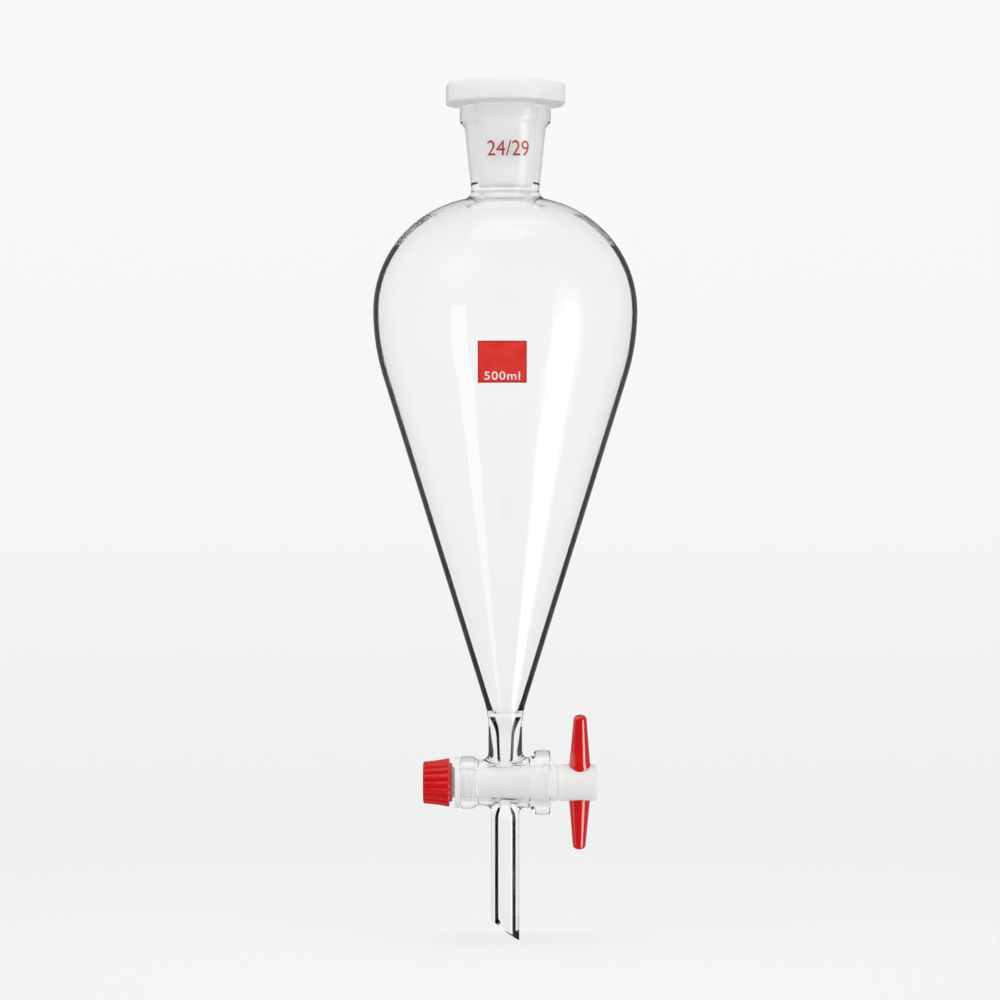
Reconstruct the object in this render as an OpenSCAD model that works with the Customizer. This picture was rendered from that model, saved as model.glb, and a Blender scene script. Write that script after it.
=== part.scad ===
// Pear-shaped separatory funnel, 500 ml, with a 24/29 ground socket, a plastic
// stopper and a PTFE stopcock key. Units are millimetres, +Z is up. The origin is on
// the funnel's axis, at the level where the ring of a stand carries the cone.

/* [Bulb] */
// Outer diameter at the belly
belly_d = 100; // [84:1:120]
// Wall of the blown bulb
bulb_wall = 2; // [1.5:0.1:3]
// Radius of the arc between belly and cone
belly_arc_r = 84; // [66:1:96]
// Radius of the shoulder's arc
shoulder_arc_r = 43; // [38:0.5:46]
// Half angle of the cone, in degrees
cone_half_angle = 17.3; // [15:0.1:20]
// Radius of the blend from cone to stem
stem_blend_r = 34; // [26:1:40]
// Radius of the blend from shoulder to neck
neck_blend_r = 4; // [2:0.5:6]

/* [Ground socket] */
// Bore diameter at the socket's rim
joint_d = 24; // [19:0.5:29]
// Length of the ground taper
joint_l = 29; // [22:1:36]
// Diameter lost for each millimetre of taper
joint_taper = 0.1; // [0.08:0.01:0.12]
// Wall at the small end of the socket
socket_wall = 2.3; // [1.8:0.1:3]
// Wall just under the bead
socket_top_wall = 3.3; // [2.5:0.1:4]
// Height of the rolled bead
bead_h = 6.4; // [4:0.2:8]
// How far the bead stands out of the wall under it
bead_out = 1.9; // [1:0.1:2.5]
// Plain neck under the ground taper
plain_neck_h = 2.5; // [1:0.5:6]

/* [Stopper] */
// Across the corners of the eight-sided head
head_corner_d = 48.6; // [40:0.2:56]
// Turn of the head's flats, in degrees
head_turn = 4; // [0:1:45]
// Height of the head
head_h = 7.4; // [6:0.2:10]
// Gap between the rim and the head's skirt
head_gap = 0.9; // [0.5:0.1:2]
// Wall of the head's skirt
skirt_wall = 2.4; // [1.6:0.1:3]
// Depth of the hollow under the head
skirt_depth = 3.6; // [2:0.2:5]
// Length of the tapered plug below the rim
stopper_l = 30.5; // [22:0.5:31]
// Wall of the hollow plug
stopper_wall = 2; // [1.5:0.1:3]

/* [Stems] */
// Outer diameter of the upper stem
upper_stem_d = 12.7; // [11:0.1:14]
// Stopcock axis below the bulb's weld
tap_drop = 20.5; // [17:0.5:26]
// Outer diameter of the drip stem
drip_stem_d = 10.6; // [8:0.2:12]
// Bore of the drip stem
drip_bore_d = 5.3; // [4:0.1:6]
// Stem tip below the stopcock axis
drip_l = 59.7; // [45:0.5:90]
// Slope of the ground tip, from the horizontal
tip_angle = 37; // [20:1:45]

/* [Stopcock barrel] */
// Length of the barrel
barrel_l = 34; // [30:1:40]
// Bore diameter at the middle of the barrel
barrel_bore_d = 12.2; // [11:0.1:14]
// Diameter gained for each millimetre of barrel
tap_taper = 0.1; // [0.08:0.01:0.12]
// Wall of the barrel
barrel_wall = 3; // [2.4:0.1:4]
// Diameter of the wide end's flange
flange_d = 24.6; // [23:0.2:28]
// Width of the flange
flange_w = 6; // [4:0.5:8]
// Diameter of the narrow end's collar
collar_d = 20; // [18.4:0.2:23]
// Width of the collar
collar_w = 5.6; // [4:0.2:7]
// Liquid way through the key
port_d = 2.5; // [2:0.1:3.2]
// Bore of the upper stem where it meets the barrel
way_d = 4; // [3.4:0.1:5]
// Stub left on the barrel for each stem, from the axis
stub_h = 11; // [10.5:0.5:13]
// How much wider than its stem each stub is swollen by the weld
weld_swell = 0.7; // [0.6:0.1:1.2]

/* [Key] */
// Radial running clearance of the key in its barrel
key_clearance = 0.04; // [0.02:0.01:0.08]
// Diameter of the key's head
key_head_d = 13.8; // [12:0.2:16]
// Length of the key's head
key_head_l = 14.6; // [12:0.2:18]
// How far the taper stands out of the flange
key_proud = 3; // [2:0.5:5]
// Diameter of the threaded tail
tail_d = 7.9; // [6.5:0.1:8.4]
// Thread pitch of the tail and the nut
thread_pitch = 1.5; // [1:0.25:2]
// Reach of each handle arm from the key's axis
arm_reach = 26.8; // [22:0.2:33]
// Arm diameter at its root
arm_root_d = 8.6; // [7.6:0.1:10]
// Turn of the handle from fully open, in degrees
handle_turn = 16; // [0:1:90]
// Arm diameter at its tip
arm_tip_d = 4.9; // [3.6:0.1:5.8]

/* [Nut and seals] */
// Length of the nut's grip
nut_l = 10; // [8:0.5:14]
// Diameter of the grip's outer end
nut_small_d = 16.2; // [15:0.2:18]
// Diameter of the grip's inner end
nut_large_d = 18.6; // [17:0.2:21]
// Diameter of the collar behind the grip
nut_collar_d = 14.6; // [14:0.2:16]
// Flutes around the grip
nut_flutes = 20; // [12:1:28]
// Washer diameter
washer_d = 19.2; // [17:0.2:22]
// Washer thickness
washer_t = 2; // [1.2:0.1:3]
// Cord diameter of the O-ring
ring_cord_d = 1.9; // [1.5:0.1:2]

/* [Hidden] */
$fn = 96;
arc_steps = 14;

glass = [0.86, 0.92, 0.93, 0.4];
ground_glass = [0.9, 0.91, 0.92, 0.8];
milky_plastic = [0.9, 0.9, 0.91];
ptfe = [0.96, 0.96, 0.95];
red_plastic = [0.78, 0.04, 0.03];
silicone = [0.88, 0.87, 0.83];

// The ring of a stand carries the cone where the cone is this wide
ring_seat_d = 80;
fit_gap = 0.05;
face_gap = 0.1;
overcut = 1;

// Heights. The belly's level comes from the cone's width at the ring, and the rest from it.
ca = cos(cone_half_angle);
sa = sin(cone_half_angle);
belly_r = belly_d / 2;
cone_top = [belly_r - belly_arc_r * (1 - ca), -belly_arc_r * sa];
cone_offset = ca * cone_top[0] - sa * cone_top[1];
belly_z = (cone_offset - ca * ring_seat_d / 2) / sa;
stem_r = upper_stem_d / 2;
weld_z = belly_z + (ca * (stem_r + stem_blend_r) - cone_offset - stem_blend_r) / sa;
tap_z = weld_z - tap_drop;
tip_z = tap_z - drip_l;

// Neck and socket
throat_r = (joint_d - joint_taper * joint_l) / 2;
neck_r = throat_r + socket_wall;
shoulder_c = belly_r - shoulder_arc_r;
neck_rise = sqrt(pow(shoulder_arc_r + neck_blend_r, 2)
    - pow(neck_r + neck_blend_r - shoulder_c, 2));
neck_z = belly_z + neck_rise;
rim_z = neck_z + plain_neck_h + joint_l;
bead_r = joint_d / 2 + socket_top_wall + bead_out;

// Stopcock
bore_mid_r = barrel_bore_d / 2;
barrel_end = barrel_l / 2;
function bore_r(x) = bore_mid_r + x * tap_taper / 2;
function key_r(x) = bore_r(x) - key_clearance;
head_start = barrel_end + key_proud;
arm_x = head_start + key_head_l * 0.56;
head_end = head_start + key_head_l;
head_r = key_head_d / 2;
spigot_r = 2.1;
spigot_depth = 4.4;
washer_left = -barrel_end - face_gap - washer_t;
ring_r = ring_cord_d / 2;
ring_x = washer_left - fit_gap - ring_r;
nut_face = washer_left - 1;
ring_pocket = ring_x - ring_r - fit_gap;
nut_collar_w = 1;
nut_end = nut_face - nut_collar_w - nut_l;
tail_end = nut_end + 1.6;
tail_r = tail_d / 2;

function arc(centre, r, from, to) =
    [for (i = [0 : arc_steps]) let (a = from + (to - from) * i / arc_steps)
        centre + r * [cos(a), sin(a)]];

// Turns an outline of [distance along X, radius] about the stopcock's axis.
module turned(outline)
    translate([0, 0, tap_z]) rotate([0, 90, 0])
        rotate_extrude() polygon([for (p = outline) [p[1], p[0]]]);

// Radius of the bulb's inner face on the straight cone.
function inner_cone_r(z) = (cone_offset - bulb_wall + sa * (z - belly_z)) / ca;

module bulb_outline() {
    blend_c = [neck_r + neck_blend_r, neck_z];
    meet = atan2(neck_rise, blend_c[0] - shoulder_c);
    outer = concat(
        arc([stem_r + stem_blend_r, weld_z], stem_blend_r, 180, 180 - cone_half_angle),
        arc([belly_r - belly_arc_r, belly_z], belly_arc_r, -cone_half_angle, 0),
        arc([shoulder_c, belly_z], shoulder_arc_r, 0, meet),
        arc(blend_c, neck_blend_r, 180 + meet, 180));
    inner_arc_r = shoulder_arc_r - bulb_wall;
    inner_x = throat_r + neck_blend_r - shoulder_c;
    inner_rise = sqrt(pow(inner_arc_r + neck_blend_r, 2) - inner_x * inner_x);
    inner_meet = atan2(inner_rise, inner_x);
    inner = concat(
        [[throat_r, neck_z]],
        arc([throat_r + neck_blend_r, belly_z + inner_rise], neck_blend_r,
            180, 180 + inner_meet),
        arc([shoulder_c, belly_z], inner_arc_r, inner_meet, 0),
        arc([belly_r - belly_arc_r, belly_z], belly_arc_r - bulb_wall, 0, -cone_half_angle),
        [[inner_cone_r(weld_z), weld_z]]);
    polygon(concat(outer, inner));
}

module bulb() color(glass) rotate_extrude() bulb_outline();

module joint_socket() {
    bead_bottom = rim_z - bead_h;
    under_bead_r = bead_r - bead_out;
    soft = bead_out * 0.8;
    color(ground_glass) rotate_extrude() polygon(concat(
        [[throat_r, neck_z], [neck_r, neck_z], [under_bead_r, bead_bottom - bead_out]],
        arc([bead_r - soft, bead_bottom + soft], soft, -70, 0),
        arc([bead_r - soft, rim_z - soft], soft, 0, 90),
        [[joint_d / 2, rim_z], [throat_r, rim_z - joint_l]]));
}

module upper_stem() {
    bottom = tap_z + stub_h;
    color(glass) difference() {
        translate([0, 0, bottom]) cylinder(h = weld_z - bottom, r = stem_r);
        upper_way();
    }
}

// The liquid's way from the bulb's tip down to the port: one cone through stem and stub.
module upper_way() {
    low = tap_z + bore_mid_r;
    translate([0, 0, low])
        cylinder(h = weld_z - low, r1 = way_d / 2, r2 = inner_cone_r(weld_z));
}

module lower_way() {
    flare = (drip_bore_d - port_d) / 2;
    flare_top = tap_z - bore_mid_r - barrel_wall * 0.6;
    translate([0, 0, flare_top - flare])
        cylinder(h = flare, r1 = drip_bore_d / 2, r2 = port_d / 2);
    translate([0, 0, tip_z - overcut])
        cylinder(h = flare_top - flare - tip_z + overcut, r = drip_bore_d / 2);
}

module stopcock_barrel() {
    collar_x = -barrel_end + collar_w;
    flange_x = barrel_end - flange_w;
    step = 0.8;
    function wall_r(x) = bore_r(x) + barrel_wall;
    color(glass) difference() {
        union() {
            turned([[-barrel_end, 0], [-barrel_end, collar_d / 2 - step],
                [-barrel_end + step, collar_d / 2], [collar_x - step, collar_d / 2],
                [collar_x + step, wall_r(collar_x)], [flange_x - 2 * step, wall_r(flange_x)],
                [flange_x, flange_d / 2 - step], [flange_x + step, flange_d / 2],
                [barrel_end - step, flange_d / 2], [barrel_end, flange_d / 2 - step],
                [barrel_end, 0]]);
            translate([0, 0, tap_z]) cylinder(h = stub_h, r = stem_r + weld_swell / 2);
            translate([0, 0, tap_z - stub_h]) cylinder(h = stub_h, r = (drip_stem_d + weld_swell) / 2);
        }
        turned([[-barrel_end - overcut, 0], [-barrel_end - overcut, bore_r(-barrel_end - overcut)],
            [barrel_end + overcut, bore_r(barrel_end + overcut)], [barrel_end + overcut, 0]]);
        upper_way();
        lower_way();
        translate([0, 0, tap_z - stub_h]) cylinder(h = 2 * stub_h, r = port_d / 2);
    }
}

module drip_stem() {
    r = drip_stem_d / 2;
    top = tap_z - stub_h;
    color(glass) difference() {
        translate([0, 0, tip_z]) cylinder(h = top - tip_z, r = r);
        lower_way();
        translate([r, 0, tip_z]) rotate([0, tip_angle, 0])
            translate([-4 * r, -2 * r, -4 * r]) cube([8 * r, 4 * r, 4 * r]);
    }
}

module stopper() {
    head_z = rim_z + head_gap;
    corner_r = head_corner_d / 2;
    soften = 1;
    round_r = corner_r - 0.9;
    skirt_r = corner_r * cos(22.5) - skirt_wall;
    plug_r = joint_d / 2 - fit_gap;
    tail_z = rim_z - stopper_l;
    hollow_z = tail_z + stopper_wall;
    // The plug runs on into the head above the skirt's hollow, so the two are one moulding
    root_z = head_z + (skirt_depth + head_h) / 2;
    function taper_r(z) = plug_r - (rim_z - z) * joint_taper / 2;
    color(milky_plastic) difference() {
        union() {
            translate([0, 0, head_z]) intersection() {
                rotate(22.5 + head_turn) linear_extrude(head_h) circle(r = corner_r, $fn = 8);
                rotate_extrude() polygon(concat([[0, 0]],
                    [[round_r - soften / 2, 0], [round_r, soften / 2]],
                    [[round_r, head_h - soften]],
                    arc([round_r - soften, head_h - soften], soften, 0, 60), [[0, head_h]]));
            }
            translate([0, 0, tail_z])
                cylinder(h = root_z - tail_z, r1 = taper_r(tail_z), r2 = taper_r(root_z));
        }
        translate([0, 0, head_z - overcut]) difference() {
            cylinder(h = skirt_depth + overcut, r = skirt_r);
            translate([0, 0, -overcut])
                cylinder(h = skirt_depth + 3 * overcut, r = taper_r(head_z));
        }
        translate([0, 0, hollow_z])
            cylinder(h = head_z + head_h - hollow_z + overcut,
                r1 = taper_r(hollow_z) - stopper_wall,
                r2 = taper_r(head_z + head_h + overcut) - stopper_wall);
    }
}

// Shallow reliefs that leave three sealing bands on the key's taper.
reliefs = [[-14.6, -12.2, 0.5], [6.6, 8.8, 0.3], [14.2, 16, 0.45]];

module key_plug() {
    soften = 1.2;
    shank_x = -barrel_end + 0.6;
    relief_points = [for (g = reliefs) each
        [[g[0], key_r(g[0])], [g[0] + 0.3, key_r(g[0]) - g[2]],
         [g[1] - 0.3, key_r(g[1]) - g[2]], [g[1], key_r(g[1])]]];
    color(ptfe) difference() {
        turned(concat(
            [[tail_end, 0], [tail_end, tail_r - 0.6], [tail_end + 0.6, tail_r],
             [shank_x - 0.4, tail_r], [shank_x, key_r(shank_x)]],
            relief_points,
            [[head_start - 0.8, key_r(head_start - 0.8)], [head_start - 0.4, head_r - 0.6],
             [head_start, head_r - 0.6], [head_start + 0.3, head_r]],
            arc([head_end - soften, head_r - soften], soften, 90, 0),
            [[head_end, 0]]));
        translate([0, 0, tap_z]) rotate([handle_turn, 0, 0])
            cylinder(h = 4 * bore_mid_r, r = port_d / 2, center = true);
        for (side = [handle_turn, handle_turn + 180])
            translate([arm_x, 0, tap_z]) rotate([side, 0, 0])
                translate([0, 0, head_r - spigot_depth - fit_gap])
                    cylinder(h = spigot_depth + overcut, r = spigot_r + fit_gap);
    }
}

module handle_arm(side) {
    tip_round = arm_tip_d / 2 * 0.7;
    root_r = arm_root_d / 2;
    tip_r = arm_tip_d / 2;
    color(red_plastic)
        translate([arm_x, 0, tap_z]) rotate([side, 0, 0]) {
            difference() {
                rotate_extrude() polygon(concat(
                    [[0, head_r * 0.7], [root_r, head_r * 0.7]],
                    arc([tip_r - tip_round, arm_reach - tip_round], tip_round, 0, 90),
                    [[0, arm_reach]]));
                rotate([0, 90, 0]) cylinder(h = 4 * root_r, r = head_r + fit_gap, center = true);
            }
            translate([0, 0, head_r - spigot_depth]) cylinder(h = spigot_depth + 0.4, r = spigot_r);
        }
}

module thrust_washer()
    color(ptfe) turned([[washer_left, tail_r + fit_gap], [washer_left, washer_d / 2 - 0.3],
        [washer_left + 0.3, washer_d / 2], [-barrel_end - face_gap - 0.3, washer_d / 2],
        [-barrel_end - face_gap, washer_d / 2 - 0.3], [-barrel_end - face_gap, tail_r + fit_gap]]);

module o_ring()
    color(silicone) translate([ring_x, 0, tap_z]) rotate([0, 90, 0])
        rotate_extrude() translate([tail_r + fit_gap + ring_r, 0]) circle(r = ring_r);

module lock_nut() {
    grip_x = nut_end + nut_l;
    small_r = nut_small_d / 2;
    large_r = nut_large_d / 2;
    flute_r = 0.55;
    flare = atan2(large_r - small_r, nut_l);
    pocket_r = tail_r + ring_cord_d + 3 * fit_gap;
    color(red_plastic) difference() {
        turned([[nut_end, tail_r + fit_gap], [nut_end, small_r - 0.7], [nut_end + 0.7, small_r],
            [grip_x - 0.5, large_r], [grip_x, large_r - 0.4], [grip_x, nut_collar_d / 2],
            [nut_face, nut_collar_d / 2], [nut_face, pocket_r], [ring_pocket, pocket_r],
            [ring_pocket, tail_r + fit_gap]]);
        for (i = [0 : nut_flutes - 1])
            translate([nut_end, 0, tap_z]) rotate([i * 360 / nut_flutes, 0, 0])
                translate([0, 0, small_r + flute_r * 0.3]) rotate([0, 90 - flare, 0])
                    translate([0, 0, -overcut]) cylinder(h = nut_l + 2 * overcut, r = flute_r, $fn = 24);
    }
}

joint_socket();
bulb();
upper_stem();
stopcock_barrel();
drip_stem();
stopper();
key_plug();
handle_arm(handle_turn);  // handle_arm_upper
handle_arm(handle_turn + 180);  // handle_arm_lower
thrust_washer();
o_ring();
lock_nut();
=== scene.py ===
import bpy
import bmesh
import math
from mathutils import Matrix, Vector


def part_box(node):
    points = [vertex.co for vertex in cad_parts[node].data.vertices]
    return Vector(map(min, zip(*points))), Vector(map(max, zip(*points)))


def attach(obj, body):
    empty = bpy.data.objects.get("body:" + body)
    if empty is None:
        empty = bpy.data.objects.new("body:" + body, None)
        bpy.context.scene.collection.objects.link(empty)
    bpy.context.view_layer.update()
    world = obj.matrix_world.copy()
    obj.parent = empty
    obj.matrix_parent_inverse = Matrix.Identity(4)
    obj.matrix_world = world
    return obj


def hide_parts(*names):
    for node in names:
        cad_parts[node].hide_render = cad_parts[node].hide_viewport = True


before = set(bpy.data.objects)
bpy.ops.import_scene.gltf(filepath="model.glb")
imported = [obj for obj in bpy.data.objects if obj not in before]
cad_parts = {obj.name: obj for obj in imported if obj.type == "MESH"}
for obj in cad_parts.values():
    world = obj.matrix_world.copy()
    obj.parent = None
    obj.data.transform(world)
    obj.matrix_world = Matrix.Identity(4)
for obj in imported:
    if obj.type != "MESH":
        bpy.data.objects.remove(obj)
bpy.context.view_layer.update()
print("frame loaded")

mm = 0.001
turn = 2 * math.pi

# levels and radii that come from the frame
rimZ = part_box("joint_socket")[1].z
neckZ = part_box("joint_socket")[0].z
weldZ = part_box("upper_stem")[1].z
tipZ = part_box("drip_stem")[0].z
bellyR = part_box("bulb")[1].x
barrelLow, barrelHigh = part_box("stopcock_barrel")
tapZ = (barrelLow.z + barrelHigh.z) / 2
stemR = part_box("upper_stem")[1].x
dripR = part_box("drip_stem")[1].x
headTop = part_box("stopper")[1].z
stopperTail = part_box("stopper")[0].z


# ---- mesh helpers

def arc(centre, r, start, end, steps=8):  # points of an arc in degrees, as (radius, height)
    turns = [math.radians(start + (end - start) * i / steps) for i in range(steps + 1)]
    return [(centre[0] + r * math.cos(a), centre[1] + r * math.sin(a)) for a in turns]


def softCorner(before, corner, after, r, steps=4):  # rounds one corner of an outline
    a = (Vector(before) - Vector(corner)).normalized()
    b = (Vector(after) - Vector(corner)).normalized()
    start, end = Vector(corner) + a * r, Vector(corner) + b * r
    points = []
    for i in range(steps + 1):
        t = i / steps
        p = start * (1 - t) ** 2 + Vector(corner) * 2 * t * (1 - t) + end * t ** 2
        points.append(tuple(p))
    return points


def softened(points, r, steps=4, keep=()):  # rounds every inner corner of an open outline
    out = [points[0]]
    for i in range(1, len(points) - 1):
        a, b, c = (Vector(points[j]) for j in (i - 1, i, i + 1))
        room = min((a - b).length, (c - b).length) * 0.45
        size = min(r, room)
        if i in keep or size <= 0:
            out.append(points[i])
        else:
            out += softCorner(a, b, c, size, steps)
    return out + [points[-1]]


def aboutZ(r, z):  # the funnel's axis
    return lambda t: Vector((r * math.cos(t), r * math.sin(t), z))


def aboutX(r, x):  # the stopcock's axis
    return lambda t: Vector((x, r * math.sin(t), tapZ + r * math.cos(t)))


def skin(name, rings, around=128, capped=True):
    # rings run from one end to the other; each is a function of the angle, or a Vector for a pole
    bm = bmesh.new()
    rows = []
    for ring in rings:
        if isinstance(ring, Vector):
            rows.append([bm.verts.new(ring)])
        else:
            rows.append([bm.verts.new(ring(turn * k / around)) for k in range(around)])
    for low, high in zip(rows, rows[1:]):
        for k in range(around):
            n = (k + 1) % around
            if len(low) == 1:
                bm.faces.new((low[0], high[k], high[n]))
            elif len(high) == 1:
                bm.faces.new((low[k], high[0], low[n]))
            else:
                bm.faces.new((low[k], high[k], high[n], low[n]))
    bmesh.ops.recalc_face_normals(bm, faces=bm.faces)
    mesh = bpy.data.meshes.new(name)
    bm.to_mesh(mesh)
    bm.free()
    piece = bpy.data.objects.new(name, mesh)
    bpy.context.scene.collection.objects.link(piece)
    return piece


def lathe(name, outline, place=aboutZ, around=128):  # outline of (radius, height), closed at its poles
    rings = []
    for r, h in outline:
        rings.append(place(0, h)(0) if r < 1e-7 else place(r, h))
    return skin(name, rings, around)


def combine(piece, tool, operation, solver="EXACT"):
    cut = piece.modifiers.new("cut", "BOOLEAN")
    cut.operation = operation
    cut.object = tool
    cut.solver = solver
    bpy.context.view_layer.update()
    done = bpy.data.meshes.new_from_object(piece.evaluated_get(bpy.context.evaluated_depsgraph_get()))
    piece.modifiers.clear()
    old = piece.data
    piece.data = done
    bpy.data.meshes.remove(old)
    bpy.data.objects.remove(tool)
    return piece


def finishMesh(piece, sharp=32):
    mesh = piece.data
    mesh.shade_smooth()
    mesh.set_sharp_from_angle(angle=math.radians(sharp))
    return piece


def place(piece, body, slot, *nodes):
    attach(piece, body)
    if nodes:
        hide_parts(*nodes)
    return piece


# ---- shader helpers

def newMaterial(name):
    material = bpy.data.materials.new(name)
    material.use_nodes = True
    tree = material.node_tree
    return material, tree, tree.nodes["Principled BSDF"]


def node(tree, kind, **values):
    made = tree.nodes.new(kind)
    for key, value in values.items():
        setattr(made, key, value)
    return made


def grainGroup():
    # fine relief and a slow mottling, shared by every moulded or blown surface
    group = bpy.data.node_groups.new("surfaceGrain", "ShaderNodeTree")
    for name, value in (("fineScale", 900.0), ("slowScale", 60.0), ("fineShare", 0.5)):
        group.interface.new_socket(name, in_out="INPUT", socket_type="NodeSocketFloat").default_value = value
    group.interface.new_socket("height", in_out="OUTPUT", socket_type="NodeSocketFloat")
    group.interface.new_socket("mottle", in_out="OUTPUT", socket_type="NodeSocketFloat")
    enter, leave = group.nodes.new("NodeGroupInput"), group.nodes.new("NodeGroupOutput")
    coords = group.nodes.new("ShaderNodeTexCoord")
    fine, slow = group.nodes.new("ShaderNodeTexNoise"), group.nodes.new("ShaderNodeTexNoise")
    fine.inputs["Detail"].default_value = 3
    slow.inputs["Detail"].default_value = 2
    blend = group.nodes.new("ShaderNodeMix")
    links = group.links
    links.new(coords.outputs["Object"], fine.inputs["Vector"])
    links.new(coords.outputs["Object"], slow.inputs["Vector"])
    links.new(enter.outputs["fineScale"], fine.inputs["Scale"])
    links.new(enter.outputs["slowScale"], slow.inputs["Scale"])
    links.new(enter.outputs["fineShare"], blend.inputs["Factor"])
    links.new(slow.outputs["Fac"], blend.inputs["A"])
    links.new(fine.outputs["Fac"], blend.inputs["B"])
    links.new(blend.outputs["Result"], leave.inputs["height"])
    links.new(slow.outputs["Fac"], leave.inputs["mottle"])
    return group


grain = grainGroup()


def addGrain(tree, shader, look):
    made = node(tree, "ShaderNodeGroup", node_tree=grain)
    made.inputs["fineScale"].default_value = look["fineScale"]
    made.inputs["slowScale"].default_value = look["slowScale"]
    made.inputs["fineShare"].default_value = look["fineShare"]
    bump = node(tree, "ShaderNodeBump")
    bump.inputs["Strength"].default_value = look["bump"]
    bump.inputs["Distance"].default_value = look["relief"]
    tree.links.new(made.outputs["height"], bump.inputs["Height"])
    tree.links.new(bump.outputs["Normal"], shader.inputs["Normal"])
    return made, bump


def ranged(tree, source, low, high, start=0.3, end=0.7):
    step = node(tree, "ShaderNodeMapRange")
    step.inputs["From Min"].default_value = start
    step.inputs["From Max"].default_value = end
    step.inputs["To Min"].default_value = low
    step.inputs["To Max"].default_value = high
    tree.links.new(source, step.inputs["Value"])
    return step.outputs["Result"]


def toned(tree, source, low, high, start=0.3, end=0.7):  # runs between two colours
    ramp = node(tree, "ShaderNodeValToRGB")
    ramp.color_ramp.elements[0].position = start
    ramp.color_ramp.elements[1].position = end
    ramp.color_ramp.elements[0].color = (*low, 1)
    ramp.color_ramp.elements[1].color = (*high, 1)
    tree.links.new(source, ramp.inputs["Fac"])
    return ramp.outputs["Color"]


# ---- glass

glassLook = {
    "ior": 1.47,
    "wallMirror": 0.05,  # how much the wall's inner face mirrors inside the glass, past the critical angle; the rest is painted shade
    # the Edge ramps paint shade into the glass's see-through colour, darker towards edge-on faces, as its dark
    # outlines
    "bulbEdge": ((0.4, 1.0), (0.6, 0.94), (0.78, 0.8), (0.97, 0.4)),  # how bright its painted see-through colour is, from facing to edge on
    "plainEdge": ((0.6, 1.0), (0.97, 0.95)),
    # painted shade: the stem is near black except where it faces straight on, as its dark bars
    "stemEdge": ((0.24, 1.0), (0.31, 0.003), (0.9, 0.002), (0.98, 0.1)),
    "wave": {"fineScale": 130, "slowScale": 26, "fineShare": 0.02, "bump": 0.1, "relief": 0.00006},
}


def clearGlass(name, edge, mirror=1.0, lean=None):
    material, tree, shader = newMaterial(name)
    shader.inputs["Roughness"].default_value = 0.0
    shader.inputs["IOR"].default_value = glassLook["ior"]
    shader.inputs["Transmission Weight"].default_value = 1
    made, bump = addGrain(tree, shader, glassLook["wave"])
    # painted shade: the see-through colour darkens from facing to edge on, as dark outlines
    facing = node(tree, "ShaderNodeLayerWeight")
    facing.inputs["Blend"].default_value = 0.5
    ramp = node(tree, "ShaderNodeValToRGB")
    stops = ramp.color_ramp.elements
    for i, (where, clear) in enumerate(edge):
        stop = stops[i] if i < 2 else stops.new(where)
        stop.position = where
        stop.color = (clear, min(1, clear * 1.01), min(1, clear * 1.015), 1)
    across = facing.outputs["Facing"]
    if lean:  # the painted edge shade fades between two heights
        amount, low, high = lean
        coords, axes = node(tree, "ShaderNodeTexCoord"), node(tree, "ShaderNodeSeparateXYZ")
        tree.links.new(coords.outputs["Object"], axes.inputs["Vector"])
        less = ranged(tree, axes.outputs["Z"], 0, amount, low, high)
        reduced = node(tree, "ShaderNodeMath", operation="SUBTRACT")
        tree.links.new(across, reduced.inputs[0])
        tree.links.new(less, reduced.inputs[1])
        across = reduced.outputs[0]
    tree.links.new(across, ramp.inputs["Fac"])
    tree.links.new(ramp.outputs["Color"], shader.inputs["Base Color"])
    surface = shader.outputs["BSDF"]
    if mirror < 1:  # an inner face: past the critical angle it mirrors only the given share, of the dark room, and the rest is painted shade
        through = node(tree, "ShaderNodeBsdfRefraction")
        through.inputs["Roughness"].default_value = 0.0
        through.inputs["IOR"].default_value = glassLook["ior"]
        tree.links.new(bump.outputs["Normal"], through.inputs["Normal"])
        mix = node(tree, "ShaderNodeMixShader")
        critical = 1 - math.sqrt(1 - 1 / glassLook["ior"] ** 2)
        share = node(tree, "ShaderNodeValToRGB")
        for i, (where, mirrors) in enumerate(((critical - 0.006, mirror), (critical - 0.003, 0.9), (critical + 0.006, mirror))):
            stop = share.color_ramp.elements[i] if i < 2 else share.color_ramp.elements.new(where)
            stop.position, stop.color = where, (mirrors, mirrors, mirrors, 1)
        tree.links.new(facing.outputs["Facing"], share.inputs["Fac"])
        tree.links.new(share.outputs["Color"], mix.inputs[0])
        tree.links.new(through.outputs["BSDF"], mix.inputs[1])
        tree.links.new(surface, mix.inputs[2])
        surface = mix.outputs["Shader"]
    letLightPass(tree, surface, (0.985, 0.987, 0.987))
    return material


def letLightPass(tree, surface, tint):  # lamps and even light reach what stands behind the glass
    path = node(tree, "ShaderNodeLightPath")
    either = node(tree, "ShaderNodeMath", operation="MAXIMUM")
    tree.links.new(path.outputs["Is Shadow Ray"], either.inputs[0])
    tree.links.new(path.outputs["Is Diffuse Ray"], either.inputs[1])
    clear = node(tree, "ShaderNodeBsdfTransparent")
    clear.inputs["Color"].default_value = (*tint, 1)
    mix = node(tree, "ShaderNodeMixShader")
    out = tree.nodes["Material Output"]
    tree.links.new(either.outputs[0], mix.inputs[0])
    tree.links.new(surface, mix.inputs[1])
    tree.links.new(clear.outputs["BSDF"], mix.inputs[2])
    tree.links.new(mix.outputs["Shader"], out.inputs["Surface"])


def groundGlass():
    material, tree, shader = newMaterial("groundGlass")
    shader.inputs["IOR"].default_value = glassLook["ior"]
    shader.inputs["Transmission Weight"].default_value = 0.35
    shader.inputs["Base Color"].default_value = (0.95, 0.955, 0.965, 1)
    made, bump = addGrain(tree, shader, {"fineScale": 2600, "slowScale": 90, "fineShare": 0.8,
                                         "bump": 0.5, "relief": 0.00005})
    tree.links.new(ranged(tree, made.outputs["mottle"], 0.42, 0.58), shader.inputs["Roughness"])
    letLightPass(tree, shader.outputs["BSDF"], (0.95, 0.955, 0.96))
    return material


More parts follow.
